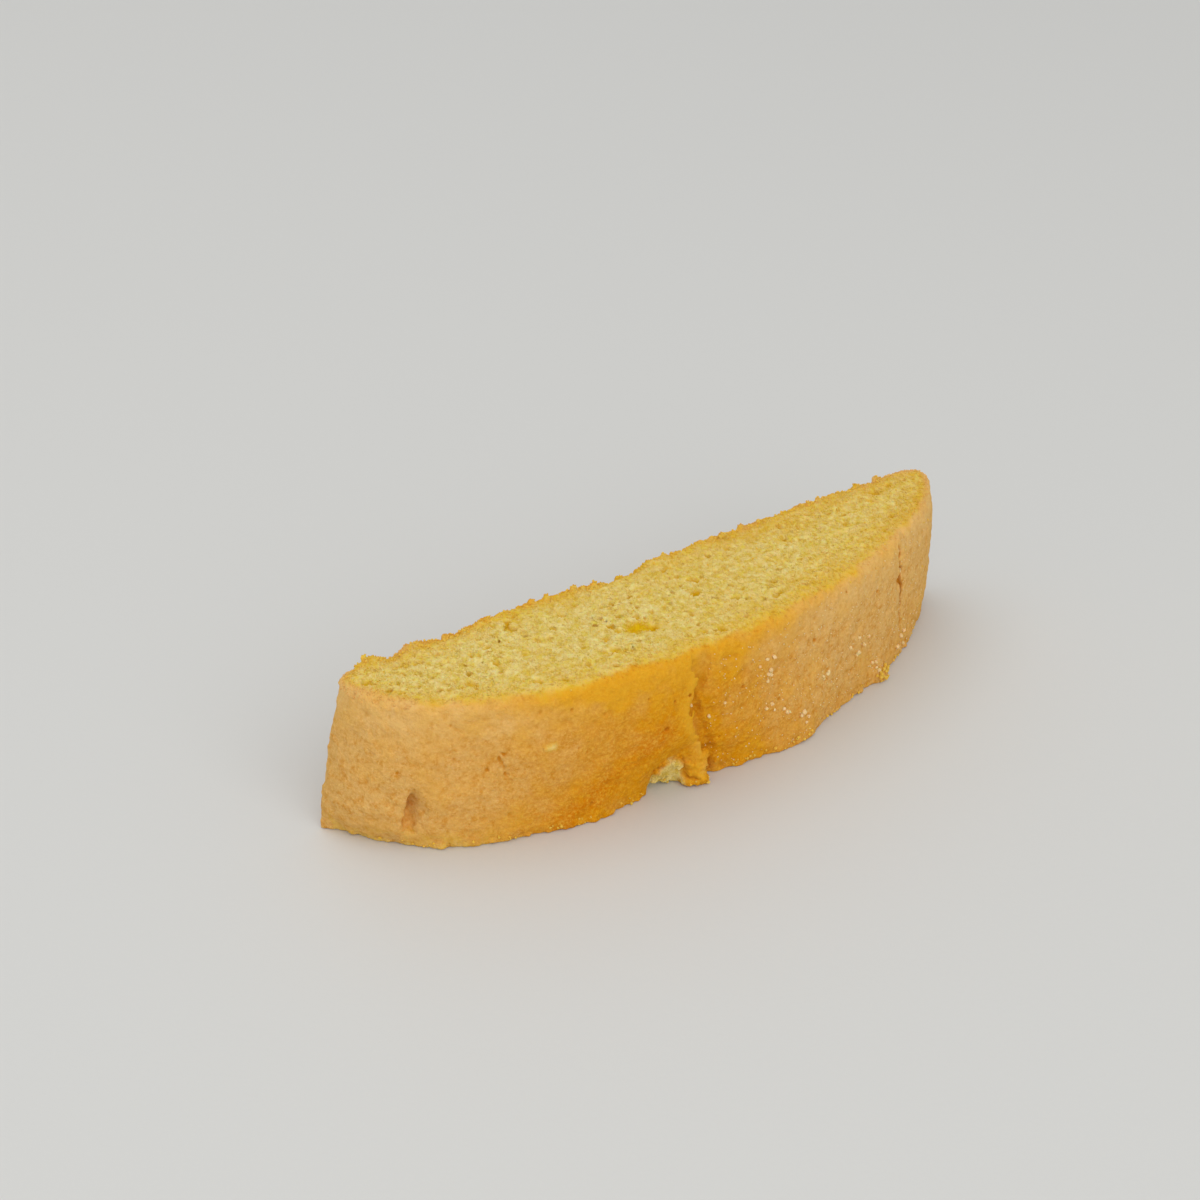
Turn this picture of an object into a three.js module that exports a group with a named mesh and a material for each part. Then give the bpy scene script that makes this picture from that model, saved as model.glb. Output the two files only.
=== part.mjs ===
// One slice of biscotti, cut at a slant from a baked log and lying on one of its cut faces.
// Millimetres, +Z up. X runs along the log's flat underside, which faces +Y, and the
// domed crust faces -Y. The origin is on the floor, under the middle of the slice.

import * as THREE from 'three';
import { mergeVertices } from 'three/addons/utils/BufferGeometryUtils.js';

const { lerp, smoothstep } = THREE.MathUtils;

// The two cut faces, as half-lengths each side of the dome's highest line, and how full
// the dome is towards each end. The base is longer at both ends, because the knife went
// through the log at a slant. Its corners at the flat side are sharper, and the ends
// swell a little between the faces.
const TOP_CUT = {
  peak: -5, left: 53.3, right: 61, dome: 24.5, corner: 2.5, leftFullness: 2.15, rightFullness: 1.65,
};
const BASE_CUT = {
  peak: -6, left: 56.7, right: 62.2, dome: 24.9, corner: 1.1, leftFullness: 2.15, rightFullness: 1.75,
};
const END_SWELL = 0.6;
const DOME_SWELL = 0.4;
const CORNER_FULLNESS = 14;

// Thickness, from the left end to the right, and the rounding of the rims
const THICKNESS_LEFT = 25.0;
const THICKNESS_RIGHT = 24.0;
const TOP_RIM_RADIUS = 1.2;
const BASE_RIM_RADIUS = 0.5;

// The line across the middle of the cut face, towards which its rings close
const MIDLINE_Y = -11;
const MIDLINE_REACH = 44;

// How finely the surface is faceted
const POINTS_AROUND = 176;
const OUTLINE_SAMPLES = 360;
const WALL_STEPS = 10;
const RIM_STEPS = 2;
const CRUMB_RINGS = [0.86, 0.71, 0.56, 0.42, 0.28, 0.14];

// How far the crust and the cut crumb stray from a smooth surface
const CRUST_RELIEF = 0.35;
const CRUST_SLANT = 0.4;
const CRUMB_RELIEF = 0.3;
const CRUMB_GRAIN = { alongX: 1.7, alongY: 1.9 };

// The waves that the unevenness is made of, wide to fine: how fast each one turns both
// ways, where it starts, how much it wanders, and its share of the whole
const WAVES = [
  { turnU: 0.23, turnV: 0.31, start: 1.3, wander: 0, share: 0.45 },
  { turnU: 0.61, turnV: 0.53, start: 0.5, wander: 1, share: 0.35 },
  { turnU: 1.7, turnV: 1.5, start: 0.6, wander: 1, share: 0.2 },
];

// A split runs down the dome from the top rim to the base, and is shallower at the rim
const SPLIT = { topX: -12.3, baseX: -7, bow: 1.6, depth: 1.3, steepSide: 0.9, gentleSide: 4.2 };
const SPLIT_FADE = { fromShare: 0.8, loss: 0.6 };

// Places on the dome where the crust is pressed in (depth above 0) or stands out (below
// 0). They fade in over this distance from the flat side.
const MARKS_FADE_IN = { from: 1, to: 4 };
const MARKS = {
  tornHollow: { x: -15.6, z: 0.5, halfX: 3.3, halfZ: 5.2, depth: 4.3 },
  undercutBesideIt: { x: -21.5, z: 0.5, halfX: 4.6, halfZ: 4.4, depth: 1.3 },
  tornLump: { x: -10.6, z: 0.5, halfX: 1.6, halfZ: 3.4, depth: -1.3 },
  wornBaseEdge: { x: -60, z: 0, halfX: 7.5, halfZ: 2, depth: 2.7 },
  lobeLeftOfSplit: { x: -18, z: 15, halfX: 5.5, halfZ: 7, depth: -0.7 },
  footRightOfSplit: { x: 9.8, z: 0, halfX: 7.5, halfZ: 9, depth: -1.6 },
  fingerDent: { x: -54, z: 6.8, halfX: 0.9, halfZ: 3.2, depth: 1.4 },
  bulgeBesideDent: { x: -51.8, z: 9.2, halfX: 1.8, halfZ: 2.0, depth: -0.6 },
  creaseNearTip: { x: 37.7, z: 12.5, halfX: 0.6, halfZ: 8, depth: 0.5 },
  crumbStuckToBase: { x: 31.8, z: 0.8, halfX: 1.4, halfZ: 1.6, depth: -1.9 },
};

// Hollows in the upper cut face
const HOLLOWS = {
  shallowPocket: { x: -14.2, y: -15.6, halfX: 3.4, halfY: 2.6, depth: 1.3 },
  poreAtFlatSide: { x: -3, y: -7.5, halfX: 1.6, halfY: 1.6, depth: 0.8 },
  longPore: { x: 14, y: -15, halfX: 2.4, halfY: 1.5, depth: 0.8 },
};

const BISCUIT = new THREE.MeshStandardMaterial({ color: 0xdcab52, roughness: 0.9, metalness: 0 });

// A soft unevenness between about -1 and 1, the same on every run
function unevenness(u, v) {
  let sum = 0;
  for (const { turnU, turnV, start, wander, share } of WAVES) {
    const alongU = Math.sin(turnU * u + start + wander * Math.sin((turnV * v) / 2));
    const alongV = Math.cos(turnV * v + start + wander * Math.sin((turnU * u) / 2));
    sum += share * alongU * alongV;
  }
  return sum;
}

function bump(place, u, v, halfU, halfV) {
  const across = (u - place.x) / halfU;
  const along = v / halfV;
  return place.depth * Math.exp(-across * across - along * along);
}

// One point of a cut face's outline: a superellipse that is fuller at the left end and
// drawn out at the right, with small round corners at the flat side.
function outlinePoint(cut, angle) {
  const c = Math.cos(angle);
  const s = Math.sin(angle);
  const atFlatSide = s >= 0;
  const domeFullness = c < 0 ? cut.leftFullness : cut.rightFullness;
  const reach = c < 0 ? cut.left : cut.right;
  const powerX = 2 / (atFlatSide ? CORNER_FULLNESS : domeFullness);
  const powerY = atFlatSide ? 1 : 2 / domeFullness;
  const depth = atFlatSide ? cut.corner : cut.dome;
  const x = cut.peak + Math.sign(c) * reach * Math.abs(c) ** powerX;
  const y = Math.sign(s) * depth * Math.abs(s) ** powerY - cut.corner;
  return new THREE.Vector2(x, y);
}

// The outline at a share of the height, as evenly spaced points that run anticlockwise
function outlineAt(share) {
  const cut = {};
  for (const key of Object.keys(TOP_CUT)) {
    cut[key] = lerp(BASE_CUT[key], TOP_CUT[key], share);
  }
  const swell = Math.sin(Math.PI * share);
  cut.left += END_SWELL * swell;
  cut.right += END_SWELL * swell;
  cut.dome += DOME_SWELL * swell;
  const dense = [];
  for (let i = 0; i <= OUTLINE_SAMPLES; i += 1) {
    dense.push(outlinePoint(cut, (2 * Math.PI * i) / OUTLINE_SAMPLES));
  }
  const curve = new THREE.SplineCurve(dense);
  curve.arcLengthDivisions = 4 * OUTLINE_SAMPLES;
  return curve.getSpacedPoints(POINTS_AROUND).slice(0, POINTS_AROUND);
}

function thicknessAt(x) {
  return lerp(THICKNESS_LEFT, THICKNESS_RIGHT, smoothstep(x, -BASE_CUT.left, TOP_CUT.right));
}

// The split, a valley with a steep left side and a gentle right one
function splitDepth(x, z) {
  const share = z / THICKNESS_RIGHT;
  const lineX = lerp(SPLIT.baseX, SPLIT.topX, share) - SPLIT.bow * Math.sin(Math.PI * share);
  const away = x - lineX;
  const width = away < 0 ? SPLIT.steepSide : SPLIT.gentleSide;
  const fade = 1 - SPLIT_FADE.loss * smoothstep(share, SPLIT_FADE.fromShare, 1);
  return fade * SPLIT.depth * Math.exp(-((away / width) ** 2));
}

// How far the crust lies inside the plain outline, at a place on it
function crustInset(point, z) {
  const domeShare = smoothstep(-point.y, MARKS_FADE_IN.from, MARKS_FADE_IN.to);
  let inset = CRUST_RELIEF * unevenness(point.x + CRUST_SLANT * point.y, z);
  inset += domeShare * splitDepth(point.x, z);
  for (const mark of Object.values(MARKS)) {
    inset += domeShare * bump(mark, point.x, z - mark.z, mark.halfX, mark.halfZ);
  }
  return inset;
}

// The upper cut face: nearly level, with soft relief and a few hollows
function crumbHeight(x, y) {
  const relief = CRUMB_RELIEF * unevenness(CRUMB_GRAIN.alongX * x, CRUMB_GRAIN.alongY * y);
  let height = thicknessAt(x) + relief;
  for (const hollow of Object.values(HOLLOWS)) {
    height -= bump(hollow, x, y - hollow.y, hollow.halfX, hollow.halfY);
  }
  return height;
}

// Each point moved inwards, square to the outline, by the distance that inset() gives
function insetRing(outline, z, inset) {
  const count = outline.length;
  return outline.map((point, i) => {
    const along = outline[(i + 1) % count].clone().sub(outline[(i + count - 1) % count]);
    const inward = new THREE.Vector2(-along.y, along.x).normalize();
    return point.clone().addScaledVector(inward, inset(point, z));
  });
}

// A ring drawn in towards the midline of the cut face
function drawnIn(ring, share) {
  return ring.map((point) => {
    const middleX = THREE.MathUtils.clamp(point.x, -MIDLINE_REACH, MIDLINE_REACH);
    const middle = new THREE.Vector2(middleX, MIDLINE_Y);
    return middle.lerp(point, share);
  });
}

// The rings of the surface, from the base rim up the crust and in over the cut crumb
function buildRings() {
  const rings = [];
  const addRing = (points, heightAt) => {
    rings.push(points.map((p) => new THREE.Vector3(p.x, p.y, heightAt(p.x, p.y))));
  };
  const addWallRing = (share, rimInset, heightAt) => {
    const z = share * THICKNESS_RIGHT;
    const inset = (point) => rimInset + crustInset(point, z);
    addRing(insetRing(outlineAt(share), z, inset), heightAt);
  };
  for (let i = 0; i <= RIM_STEPS; i += 1) {
    const turn = (Math.PI / 2) * (i / RIM_STEPS);
    const rise = BASE_RIM_RADIUS * (1 - Math.cos(turn));
    addWallRing(rise / THICKNESS_RIGHT, BASE_RIM_RADIUS * (1 - Math.sin(turn)), () => rise);
  }
  for (let i = 1; i < WALL_STEPS; i += 1) {
    const share = i / WALL_STEPS;
    const wallHeight = (x) => lerp(BASE_RIM_RADIUS, thicknessAt(x) - TOP_RIM_RADIUS, share);
    addWallRing(share, 0, wallHeight);
  }
  for (let i = 0; i <= RIM_STEPS; i += 1) {
    const turn = (Math.PI / 2) * (i / RIM_STEPS);
    const drop = TOP_RIM_RADIUS * (1 - Math.sin(turn));
    const rimHeight = (x, y) => crumbHeight(x, y) - drop;
    addWallRing(1 - drop / THICKNESS_RIGHT, TOP_RIM_RADIUS * (1 - Math.cos(turn)), rimHeight);
  }
  const topRim = rings.at(-1).map((p) => new THREE.Vector2(p.x, p.y));
  for (const share of CRUMB_RINGS) {
    addRing(drawnIn(topRim, share), crumbHeight);
  }
  return rings;
}

// Two triangles for each step between neighbouring rings, facing out
function sideFaces(ringCount) {
  const faces = [];
  for (let r = 0; r + 1 < ringCount; r += 1) {
    for (let i = 0; i < POINTS_AROUND; i += 1) {
      const next = (i + 1) % POINTS_AROUND;
      const low = r * POINTS_AROUND;
      const high = low + POINTS_AROUND;
      faces.push(low + i, low + next, high + next);
      faces.push(low + i, high + next, high + i);
    }
  }
  return faces;
}

function capFaces(ring, firstIndex, facesUp) {
  const flat = ring.map((p) => new THREE.Vector2(p.x, p.y));
  const triangles = THREE.ShapeUtils.triangulateShape(flat, []);
  return triangles.flatMap(([a, b, c]) => {
    const order = facesUp ? [a, b, c] : [c, b, a];
    return order.map((index) => index + firstIndex);
  });
}

function biscottoGeometry() {
  const rings = buildRings();
  const lastRing = rings.length - 1;
  const faces = [
    ...capFaces(rings[0], 0, false),
    ...sideFaces(rings.length),
    ...capFaces(rings[lastRing], lastRing * POINTS_AROUND, true),
  ];
  const places = rings.flat().flatMap((p) => p.toArray());
  const geometry = new THREE.BufferGeometry();
  geometry.setAttribute('position', new THREE.Float32BufferAttribute(places, 3));
  geometry.setIndex(faces);
  return mergeVertices(geometry);
}

function centredOnFloor(geometry) {
  geometry.computeBoundingBox();
  const middle = geometry.boundingBox.getCenter(new THREE.Vector3());
  geometry.translate(-middle.x, -middle.y, -geometry.boundingBox.min.z);
  geometry.computeVertexNormals();
  return geometry;
}

const biscotto = new THREE.Mesh(centredOnFloor(biscottoGeometry()), BISCUIT);
biscotto.name = 'biscotto';

const group = new THREE.Group();
group.add(biscotto);

export default group;
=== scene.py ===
import math

import bmesh
import bpy
import numpy as np
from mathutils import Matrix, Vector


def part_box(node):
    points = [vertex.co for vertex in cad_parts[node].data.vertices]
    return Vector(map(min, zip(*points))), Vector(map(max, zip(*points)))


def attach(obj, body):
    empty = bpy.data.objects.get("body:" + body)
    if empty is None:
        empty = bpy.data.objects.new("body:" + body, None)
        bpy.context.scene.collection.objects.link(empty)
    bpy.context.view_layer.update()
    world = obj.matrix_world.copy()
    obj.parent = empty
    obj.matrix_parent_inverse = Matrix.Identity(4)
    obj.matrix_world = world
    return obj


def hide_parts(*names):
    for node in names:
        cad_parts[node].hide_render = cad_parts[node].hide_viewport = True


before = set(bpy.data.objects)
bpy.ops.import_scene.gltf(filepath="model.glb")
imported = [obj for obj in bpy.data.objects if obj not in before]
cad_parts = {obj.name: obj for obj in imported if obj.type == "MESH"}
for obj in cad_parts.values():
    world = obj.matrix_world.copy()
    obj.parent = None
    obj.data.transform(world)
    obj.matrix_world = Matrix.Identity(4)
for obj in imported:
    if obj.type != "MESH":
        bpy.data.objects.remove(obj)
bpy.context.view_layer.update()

import openvdb as vdb
from mathutils import Vector
from mathutils.bvhtree import BVHTree

# Everything is in millimetres, in the frame of the CAD slice, until a mesh is made.
# X runs along the flat side of the slice, the dome faces -Y and the base is at Z = 0.
NODE = "biscotto"
MM = 0.001

# The voxel grid in which the slice is modelled, the room round it and the band of distances
# that the mesh is made from
VOXEL = 0.2
MARGIN = 1.6
BAND = 3 * VOXEL
MOST_TRIANGLES = 196_000

# The side wall is worked out on a coarser plan at some heights. Points above a share of
# the height belong to the upper cut face.
PLAN_STEP = 0.6
LEVELS = (0.7, 3.5, 6.5, 9.5, 12.5, 15.5, 18.5, 22.3)
CUT_FACE_SHARE = 0.93

# Distances from none to full: in from the flat side, down from the top, up from the base,
# into the crumb from the dome and from the flat side, and towards the dome from Y = 0
FLAT_SIDE_SPAN = (3.5, 1)
TOP_SPAN = (5, 1)
BASE_SPAN = (2.2, 0.4)
DOME_CRUMB_SPAN = (-0.7, -3.2)
FLAT_CRUMB_SPAN = (0, -0.8)
DOME_SPAN = (0, -4)

# Rounding where the cut faces meet the crust
DOME_RIM = 2.6
FLAT_RIM = 0.8
BASE_RIM = 0.5

# Broad to fine unevenness, as (cell, height) pairs
CRUST_RELIEF = ((8, 0.3), (2.8, 0.18), (1.3, 0.14))
CRUST_GRAIN = ((1.1, 0.1), (0.6, 0.12))
FLAT_RIM_RELIEF = ((3.5, 0.3), (1.8, 0.45), (1.0, 0.35))
BASE_RIM_RELIEF = ((2.4, 0.32), (1.1, 0.38))
CUT_RELIEF = ((9, 0.25), (3.8, 0.2))

# How unevenly the crust gives way to crumb at the upper rim, as (cell, reach) pairs
SKIN_EDGE = ((3.5, 0.8), (1.2, 0.35))

# The crumb stands up in rounded clumps, coarse and fine, as (cell, height) pairs, with
# a finer unevenness over them. A level share of the height keeps the face where it was.
CLUMPS = ((1.4, 0.5), (0.65, 0.3))
CLUMP_LEVEL = 0.5
CLUMP_TOPS = (0.35, 1.0)
CRUMB_GRAIN = ((0.9, 0.08), (0.5, 0.07))

# Where each kind of unevenness starts its random numbers
SEEDS = {"crust": 100, "flat rim": 200, "base rim": 250, "cut face": 300, "clumps": 350,
         "crumb grain": 400, "crust grain": 450, "skin": 501, "browning": 511, "worn": 521}

# Where the far rim stands above the cut face or dips below it: X, half-width and rise
RIM_FEATURES = {
    "crumb at the corner": (-49.5, 1.6, 1.2),
    "dip beside the corner": (-45.8, 1.6, -0.7),
    "lump after the dip": (-42.5, 1.6, 1.1),
    "low stretch": (-35, 3, -0.6),
    "long dip before the middle": (-4, 4.5, -1.4),
    "rise at its end": (2.6, 1.4, 0.7),
}

# Lumps and notches along the far rim, up to a distance from the ends of the slice: how far
# in they lie, how far each strays, their half-sizes and what share of them are notches
RIM_SPACING = 1.2
RIM_ENDS = 7
RIM_INSET = 1.0
RIM_STRAY = 0.5
RIM_LUMP = (0.35, 0.7)
RIM_NOTCH = (0.5, 1.0)
NOTCH_SHARE = 0.4

# Pores of the crumb: the lattice they are scattered from, how far each strays in plan,
# their half-widths, what share of that they have along Y, and how far in from the crust
# they start. Only the larger ones are opened in the base.
PORE_SPACING = 1.5
PORE_STRAY = 0.8
PORE_SIZE = 0.34
PORE_SPREAD = 0.4
PORE_STRETCH = (0.7, 1.2)
PORE_START = 0.9
LARGEST_PORE = 0.75
SMALLEST_PORE = {"top": 0.17, "base": 0.4}

# The split down the dome: how far along X it lies at each height, and how deep its
# hollow is there, which varies by a share. A soft ridge stands out on its left.
SPLIT_HEIGHTS = (0, 4, 8, 12, 16, 20, 24)
SPLIT_PLACES = (-5.2, -5.6, -6.4, -8.8, -9.7, -8.2, -6.7)
SPLIT_DEPTHS = (0.9, 0.8, 0.5, 0.45, 0.35, 0.1, 0.05)
SPLIT_HOLLOW = {"z": (0.5, 23), "step": 0.5, "stray": 0.12, "depth_share": (0.75, 1.1),
                "half_width": (0.6, 1.0), "half_height": 0.8}
SPLIT_RIDGE = {"z": (6, 21), "step": 0.9, "stray": 0.25, "left": 1.7, "sunk": 0.45,
               "radii": (1.5, 0.7, 1.3)}

# The split is a soft fold higher up: how far the wall is evened out along X, how wide a
# stretch of it that reaches, and between which heights it comes in
SPLIT_SOFTENING = {"reach": 2.2, "half": 5, "z": (5, 11)}

# Hollows pressed or torn into the dome: X, height, then half-sizes along X, in and up
DOME_HOLLOWS = {
    "upper split pocket": (-9.0, 16.3, 0.8, 1.2, 1.2),
    "middle split pocket": (-8.3, 13.0, 1.2, 1.5, 1.9),
    "lower split pocket": (-5.4, 5.0, 0.8, 1.2, 1.8),
    "foot of the split": (-4.8, 1.4, 0.8, 1.5, 1.8),
    "crescent right of the split": (-2.6, 21.2, 1.2, 0.45, 0.4),
    "dimple right of the split": (-0.5, 17.5, 1.0, 0.5, 0.9),
    "finger dent": (-51.4, 7.2, 0.9, 2.7, 2.9),
    "finger dent, lower end": (-52.1, 4.7, 0.8, 1.5, 1.6),
    "hole under the dent": (-51.6, 3.2, 0.4, 0.8, 0.4),
    "pit left of the split": (-14.6, 13.2, 0.3, 0.5, 0.3),
    "nick at the tip": (55.5, 1.4, 0.5, 0.6, 1.3),
}

# The torn place at the base, where lumps of pale crumb show, the gap under it, and the
# rough block of crust beside it
TORN = {"x": -12.4, "half_x": 2.9, "z": 1.5, "half_z": 5.4}
TORN_GAP = {"centre": (-12.6, -10.6, 0.0), "radii": (2.4, 2.4, 0.8)}
TORN_LUMPS = {"x": (-14.4, -10.4), "z": (0.9, 6.0), "size": (0.3, 0.75), "out": (-0.3, 0.7),
              "count": 90}
BLOCK_LUMPS = {"x": (-9.6, -6.4), "z": (0.5, 5.6), "size": (0.35, 0.8), "out": (-0.3, 0.5),
               "count": 60}

# The heights over which a painted highlight makes the ridge beside the split paler, and the
# half-sizes of the block under it, which gets the same painted highlight
RIDGE_HIGHLIGHT = {"z": (3, 8), "block": (2, 3)}

# A pale flake of crust that stands out from the dome
FLAKE = {"x": -33.3, "z": 15.7, "out": 0.25, "radii": (1.1, 0.35, 0.6)}

# The crust is partly worn away low down at the left, and painted lighter there against the shade
# on that low wall: how far, the heights and the stretch of X over which that comes in, and the
# size of the patches
WORN_AND_PAINTED_LIGHT = {"share": 0.6, "z": (4.0, 1.2), "x": (-36, -48), "patch": 1.6}

# The crease near the tip and the hairline at the left, from one height to another, and how
# such grooves are cut: in steps, wavering along X and swelling on the way up
CREASE = {"x": (41.6, 39.8), "z": (6.5, 22.5), "depth": 0.55, "size": 0.22, "wobble": 0.25}
HAIRLINE = {"x": (-39.1, -40.6), "z": (11, 15.5), "depth": 0.2, "size": 0.16, "wobble": 0.12}
GROOVE = {"step": 0.35, "half_height": 0.3, "waves": 1.9, "stray": 0.06, "swell": 0.4,
          "swells": 0.9}

# Small pits all over the dome, with their half-widths
CRUST_PITS = {"x": (-58, 57), "z": (1, 24), "size": (0.14, 0.3), "count": 130}

# Larger hollows in the upper cut face: X, Y, how far they are sunk, then half-sizes. One
# that isn't sunk has its middle half of its half-height above the face.
CUT_HOLLOWS = {
    "shallow pocket": (-11.0, -2.2, 0.2, 3.1, 2.1, 1.3),
    "floor of the pocket": (-9.4, -3.4, 0.9, 1.0, 0.8, 0.9),
    "pore at the flat side": (1.8, 0.6, 0.3, 1.0, 0.9, 1.0),
    "pore beside it": (3.4, 2.0, 0.2, 0.8, 0.7, 0.8),
    "long pore": (17.1, -4.9, 0.2, 1.9, 0.8, 0.9),
    "notch towards the tip": (47.0, 9.4, 0.3, 1.3, 0.9, 1.2),
    "pore at the left end": (-40.8, -0.7, 0.2, 1.0, 0.8, 0.9),
    "second pore at the left": (-44.0, -0.4, 0.1, 0.8, 0.7, 0.7),
    "third pore at the left": (-47.1, -2.4, 0.1, 0.7, 0.6, 0.7),
    "pore near the middle": (-18.4, -5.7, 0.2, 0.9, 0.8, 0.8),
    "bite in the flat rim": (-8.7, 13.0, 0.0, 1.3, 1.5, 1.1),
}

# Where the dome is golden rather than tan: round the split, low down but not at the far
# left, and close under the upper rim but not at the ends. A deep orange band of painted shade,
# where the wall turns in under a ledge, slants down left of the split.
GOLD = {"x": -10, "left": 30, "right": 19}
LOW_GOLD = {"height": 13, "share": 0.3, "left": (-52, -30)}
HIGH_GOLD = {"below_top": (5, 1.5), "share": 0.35, "left": (-46, -32), "right": (48, 30)}
LEDGE_SHADE_BAND = {"from": (-15, 12.5), "to": (-31, 1.5), "half": 2.3}

# How far the browning of the crust reaches into the crumb, how much further and more
# unevenly it does so on the dome's side to the right, and the size of its patches
RIM_FADE = {"reach": 2.2, "uneven": 0.8, "further": 1.5, "right": (-14, 10), "patch": 4.5}

# How deep the crust's skin goes, how much less on the flat side, and over which distances
# it fades. From some way below the top the whole wall has skin, but not the base.
SKIN = {"depth": 1.0, "flat_side_less": 0.4, "fade": (0.7, 0.5), "wall": (2, 3.5), "base": 0.3}

# How far in from the flat side its own colour starts and is full, and how far in from it
# the dome's colours end
FLAT_SIDE_COLOUR = (2.2, 0.9)
DOME_END = 3

# How far below the plain surface the crumb's colour starts to deepen and is deepest, as painted
# shade in its pores, and how far below the top the crust starts to turn paler and is palest,
# as painted light on the upper wall
PORE_SHADE_DEPTHS = (0.06, 0.8)
PAINTED_LIGHT_UNDER_RIM = (10, 2)

# Hollows, where shade is painted into the crust, are told from open places by the mean of
# the field over a reach in voxels, which is spread by a gain
HOLLOW_SHADE_REACH = 3
HOLLOW_SHADE_GAIN = 1.1

# Shares of torn surface over which the skin ends, the browning ends and all turns to crumb
TORN_SKIN = (0.35, 0.6)
TORN_BROWNING = (0.2, 0.5)
TORN_CRUMB = (0.3, 0.6)

# Colours as a display shows them in the photograph's light, from 0 to 255, and how bright
# that light is on a white surface
CRUMB = (222, 193, 86)
CRUMB_LIGHT = (234, 214, 142)
# Painted shade in the crumb's pores
CRUMB_PORE_SHADE = (222, 178, 12)
RIM_TAN = (222, 171, 36)
RIM_GOLD = (226, 179, 38)
CRUST_TAN = (217, 168, 94)
CRUST_GOLD = (211, 137, 0)
CRUST_LIGHT = (232, 190, 118)
CRUST_LIGHT_GOLD = (230, 172, 46)
# Deep crust colour for mottling and dots, and for the painted shade in hollows
CRUST_DEEP_AND_HOLLOW_SHADE = (200, 130, 26)
# Painted shade of the band under the ledge left of the split
CRUST_LEDGE_SHADE = (204, 118, 0)
FLAT_SIDE = (214, 158, 76)
FLAT_SIDE_DARK = (196, 132, 58)
SUGAR = (234, 208, 160)
LOOSE_CRUMB = (226, 184, 84)
FLOOR = (209, 209, 206)
LIGHT_LEVEL = 0.95

# Fine grain of the crumb: how many tries on the upper cut face and in the torn place, the
# half-widths, how far below the top a grain may lie, how far in from the flat side and
# from the dome the grains begin and are all there, and how near the sides they are tried
GRAINS = {"top": 22000, "torn": 1500, "size": (0.12, 0.27), "deepest": 2.2,
          "from_flat_side": (0.2, 0.3), "from_dome": (0.2, 3.0), "margin": 1, "flat_margin": 0.3}

# Crumbs on the slice: along the far rim, over the cut face, along the base, and the
# cluster stuck near the tip
RIM_CRUMBS = {"spacing": 0.45, "inset": (0.6, 2.4), "size": (0.12, 0.3)}
FACE_CRUMBS = {"x": (-52, 52), "y": (-10, 11), "size": (0.08, 0.2), "count": 240}
BASE_CRUMBS = {"x": (-55, 52), "z": (0.3, 1.4), "size": (0.12, 0.3), "count": 90}
STUCK_CRUMBS = {"x": 34.9, "spread": 0.7, "z": (0.4, 2.4), "size": (0.25, 0.5), "count": 16}

# How far a granule's middle stands out from the surface, as a share of its size
STAND_OUT = {"grain": 0.15, "sugar": 0.35, "crumb": 0.4}

# Sugar on the dome: clusters as X, height, spread and number, then the fine dusting
SUGAR_CLUSTERS = (
    (42.5, 3.4, 1.5, 4),
    (28.5, 10.0, 2.4, 6),
    (33.0, 2.8, 1.8, 4),
    (18.5, 9.0, 3.0, 4),
    (5.5, 16.0, 3.2, 7),
    (7.0, 8.0, 3.0, 6),
    (14.0, 4.5, 2.2, 4),
    (-4.0, 14.0, 4.0, 3),
    (40.4, 17.5, 2.0, 2),
)
SUGAR_SIZE = (0.25, 0.4)
LOWEST_SUGAR = 0.8
DUST = {"x": (-6, 50), "z": (1, 23), "size": (0.06, 0.13), "count": 600}

# Daylight from all round, and lamps as place and size in metres, then power in watts
DAYLIGHT = 0.5
LAMPS = {
    "overhead": ((-0.35, 0.35, 1.5), 1.4, 5.0),
    "front_fill": ((-0.3, -1.1, 0.9), 1.6, 10.0),
    "far_side": ((0.3, 1.6, 1.2), 1.6, 2.5),
    "left_fill": ((-1.3, -0.3, 0.6), 1.2, 1.1),
}

# The camera's place, the point it looks at and its lens, and half the width of the floor
CAMERA_PLACE = (-216.97, -265.8, 222.0)
CAMERA_AIM = (14.25, 41.42, 0.0)
LENS = 78
FLOOR_HALF = 2500

rng = np.random.default_rng(37)


def smooth_step(low, high, value):
    t = np.clip((value - low) / (high - low), 0, 1)
    return t * t * (3 - 2 * t)


def smooth_max(a, b, width):
    h = np.maximum(width - np.abs(a - b), 0) / width
    return np.maximum(a, b) + h * h * width / 4


def smooth_min(a, b, width):
    return -smooth_max(-a, -b, width)


# The grid, as three axes that broadcast against each other
low_corner, high_corner = [np.array(corner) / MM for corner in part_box(NODE)]
first_index = np.floor((low_corner - MARGIN) / VOXEL).astype(int)
last_index = np.ceil((high_corner + MARGIN) / VOXEL).astype(int)
axes = [VOXEL * np.arange(a, b + 1, dtype=np.float32) for a, b in zip(first_index, last_index)]
X = axes[0][:, None, None]
Y = axes[1][None, :, None]
Z = axes[2][None, None, :]
SHAPE = tuple(len(axis) for axis in axes)


def along_axis(values, axis, places):
    """Linear interpolation of a lattice along one axis, at fractional places."""
    whole = np.clip(np.floor(places).astype(int), 0, values.shape[axis] - 2)
    shape = [1] * values.ndim
    shape[axis] = len(places)
    share = np.clip(places - whole, 0, 1).astype(np.float32).reshape(shape)
    low = np.take(values, whole, axis=axis)
    return low + (np.take(values, whole + 1, axis=axis) - low) * share


def noise(cell, seed, dimensions=3):
    """Smooth noise between -1 and 1 over the grid, or over its plan, the same each run."""
    used = axes[:dimensions]
    counts = [int((axis[-1] - axis[0]) / cell) + 3 for axis in used]
    field = np.random.default_rng(seed).uniform(-1, 1, counts).astype(np.float32)
    for i in reversed(range(dimensions)):
        places = (used[i] - used[i][0]) / cell
        whole = np.floor(places)
        part = places - whole
        field = along_axis(field, i, whole + part * part * (3 - 2 * part))
    return field if dimensions == 3 else field[:, :, None]


def layered_noise(layers, seed, dimensions=3):
    return sum(height * noise(cell, seed + i, dimensions) for i, (cell, height) in enumerate(layers))


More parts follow.
